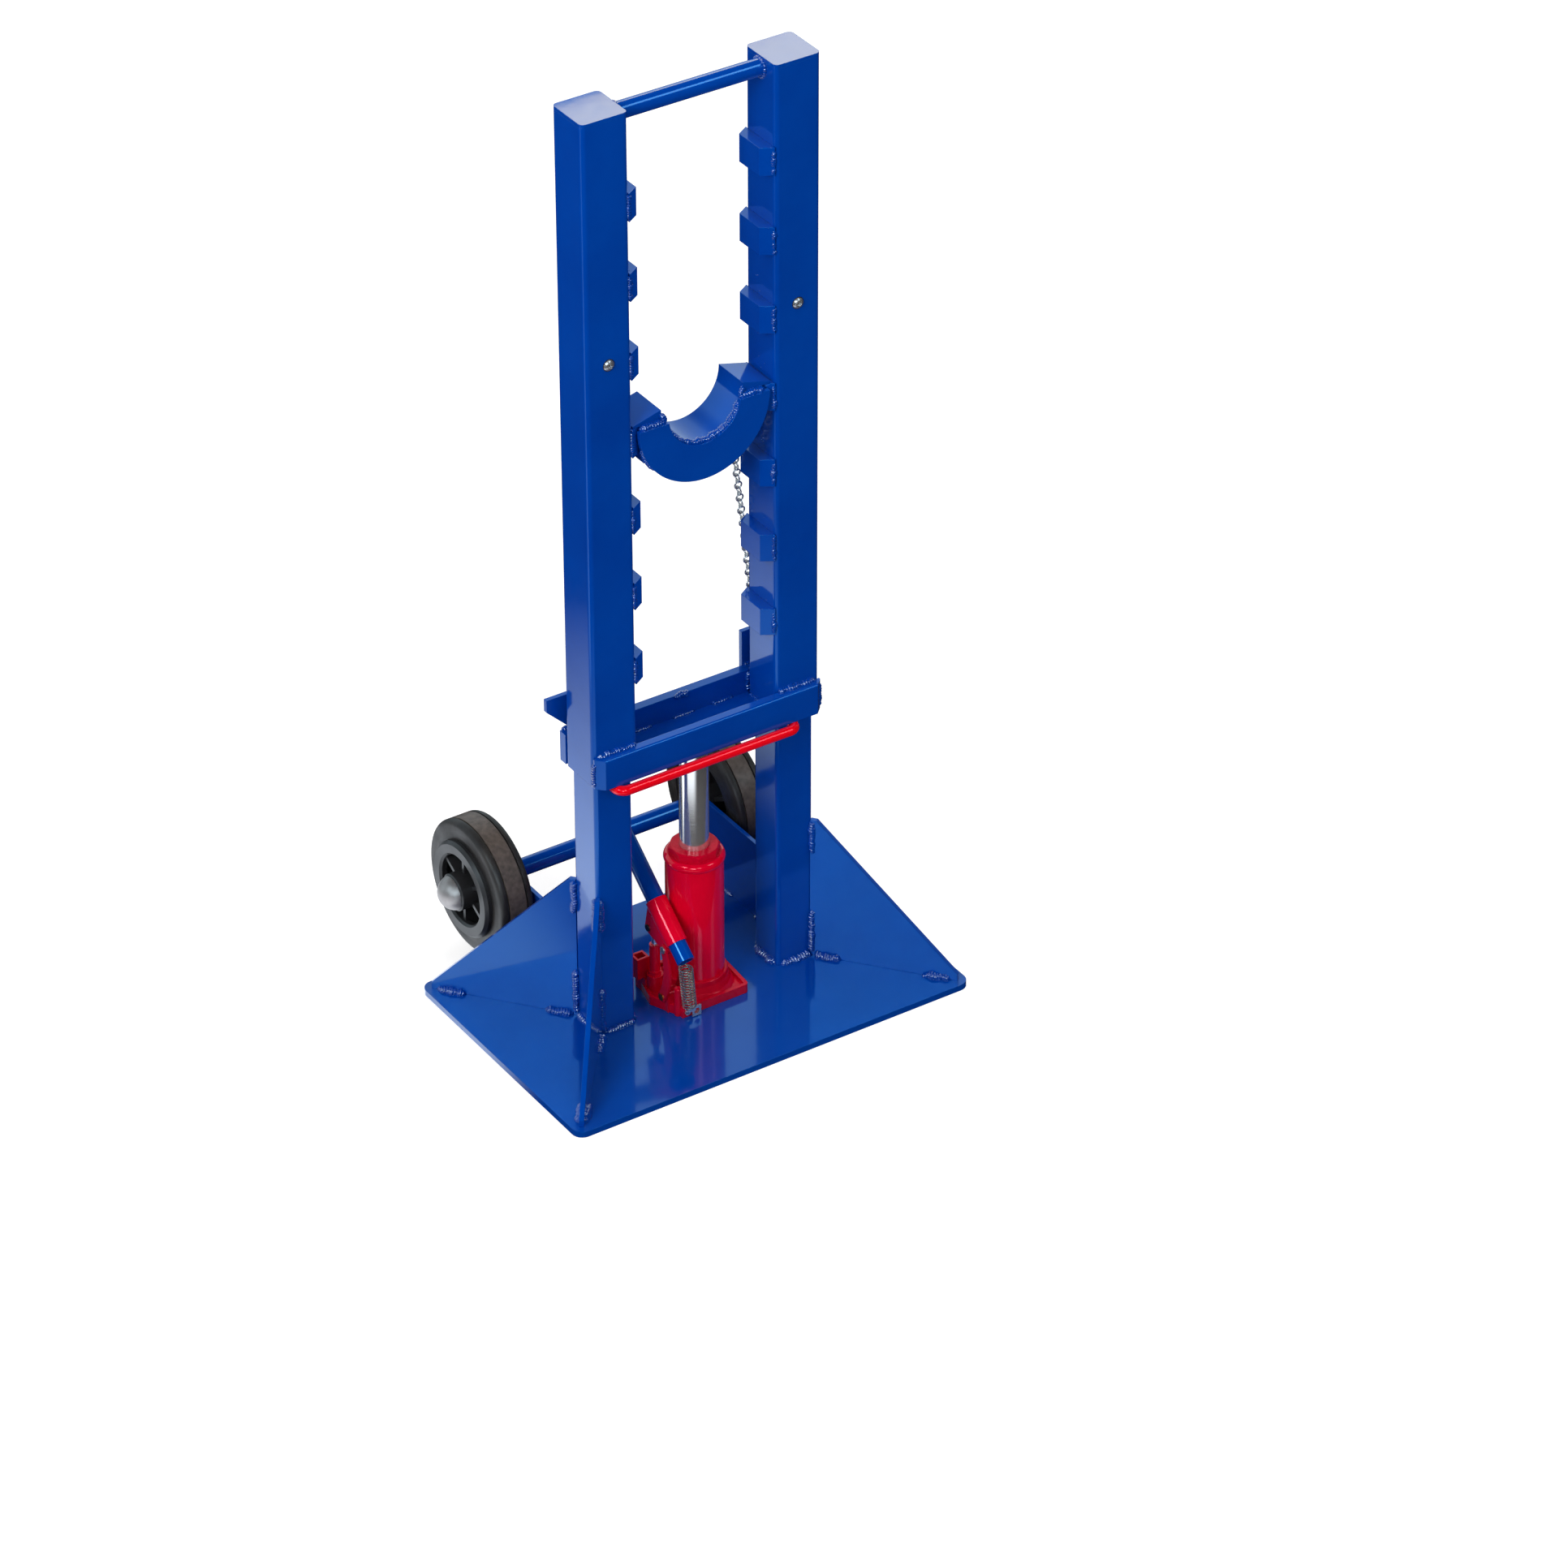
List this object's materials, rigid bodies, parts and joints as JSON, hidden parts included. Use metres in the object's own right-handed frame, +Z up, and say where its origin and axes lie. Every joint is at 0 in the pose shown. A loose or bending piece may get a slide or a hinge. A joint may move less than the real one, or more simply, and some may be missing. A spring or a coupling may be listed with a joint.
{
  "type": "hydraulic cable drum stand",
  "caption": "Free-standing stand that lifts one end of a cable drum: a sliding frame with stepped posts, a loose half-round saddle, a bottle jack with lever and a wheel pair.",
  "frame": {"origin": "centre of the underside of the base plate, on the ground and midway between the columns", "axes": "+X to the right seen from the front, -Y out of the front, +Z up along the columns"},
  "size_m": [0.55, 0.4705, 1.2173],
  "materials": {
    "blue_paint": "deep blue gloss paint",
    "red_paint": "crimson gloss paint",
    "bow_red": "bright red gloss paint",
    "ram_steel": "ground and polished steel",
    "zinc_steel": "bright zinc plating",
    "dark_steel": "dark oiled steel",
    "tyre_rubber": "matt black rubber",
    "rim_plastic": "satin black moulded plastic",
    "bush_bronze": "plain bronze",
    "cap_chrome": "bright plated sheet",
    "pad_plastic": "plain plastic",
    "plug_rubber": "matt black rubber"
  },
  "bodies": {
    "base": {"base_plate": "blue_paint", "column_left": "blue_paint", "column_right": "blue_paint", "gusset_front_left": "blue_paint", "gusset_front_right": "blue_paint", "gusset_rear_left": "blue_paint", "gusset_rear_right": "blue_paint", "bracket_left": "blue_paint", "bracket_right": "blue_paint", "axle": "blue_paint", "cap_left": "cap_chrome", "cap_right": "cap_chrome", "jack_base": "red_paint", "reservoir_tube": "red_paint", "cylinder_tube": "dark_steel", "top_nut": "red_paint", "pump_cylinder": "red_paint", "links": "red_paint", "link_top_pin": "zinc_steel", "link_bottom_pin": "bush_bronze", "return_spring": "dark_steel", "spring_tab": "zinc_steel", "filler_plug": "plug_rubber"},
    "wheel_left": {"tyre_left": "tyre_rubber", "rim_left": "rim_plastic", "bush_left": "bush_bronze"},
    "wheel_right": {"tyre_right": "tyre_rubber", "rim_right": "rim_plastic", "bush_right": "bush_bronze"},
    "frame": {"post_left": "blue_paint", "post_right": "blue_paint", "post_caps": "blue_paint", "top_bar": "blue_paint", "front_bar": "blue_paint", "rear_bar": "blue_paint", "seat_plate": "blue_paint", "rear_lugs": "blue_paint", "steps_left": "blue_paint", "steps_right": "blue_paint", "bow": "bow_red", "guide_pads": "pad_plastic", "post_screws": "zinc_steel", "chain_lug": "blue_paint", "chain": "zinc_steel"},
    "saddle": {"saddle_body": "blue_paint", "saddle_plate": "blue_paint"},
    "ram": {"ram": "ram_steel", "piston": "dark_steel"},
    "lever": {"socket": "bow_red", "socket_screw": "dark_steel", "lever_tube": "blue_paint", "plunger_pin": "dark_steel"},
    "plunger": {"plunger": "ram_steel"},
    "release_valve": {"release_valve": "zinc_steel"}
  },
  "joints": [
    {"name": "frame_lift", "type": "slide", "parent": "base", "child": "frame", "axis": [0, 0, 1], "range_m": [-0.145, 0]},
    {"name": "ram_extend", "type": "slide", "parent": "base", "child": "ram", "axis": [0, 0, 1], "range_m": [-0.145, 0]},
    {"name": "saddle_off", "type": "slide", "parent": "frame", "child": "saddle", "axis": [0, -1, 0], "range_m": [0, 0.07]},
    {"name": "pump_lever", "type": "hinge", "parent": "base", "child": "lever", "pos_m": [-0.051, -0.02898, 0.09787], "axis": [1, 0, 0], "range_deg": [-26, 0], "stiffness_Nm_per_rad": 1.5, "springref_deg": 45.84, "deforming": ["return_spring"]},
    {"name": "pump_plunger", "type": "slide", "parent": "base", "child": "plunger", "axis": [0, 0, 1], "range_m": [-0.0177, 0]},
    {"name": "release_valve_turn", "type": "hinge", "parent": "base", "child": "release_valve", "pos_m": [-0.045, -0.05, 0.015], "axis": [0, -1, 0], "range_deg": [0, 360]},
    {"name": "wheel_left_spin", "type": "hinge", "parent": "base", "child": "wheel_left", "pos_m": [-0.176, 0.208, 0.098], "axis": [1, 0, 0], "continuous": true},
    {"name": "wheel_right_spin", "type": "hinge", "parent": "base", "child": "wheel_right", "pos_m": [0.176, 0.208, 0.098], "axis": [1, 0, 0], "continuous": true}
  ],
  "couplings": [
    {"joint": "ram_extend", "follows": "frame_lift", "ratio": 1},
    {"joint": "pump_plunger", "follows": "pump_lever", "m_per_rad": 0.03865}
  ]
}
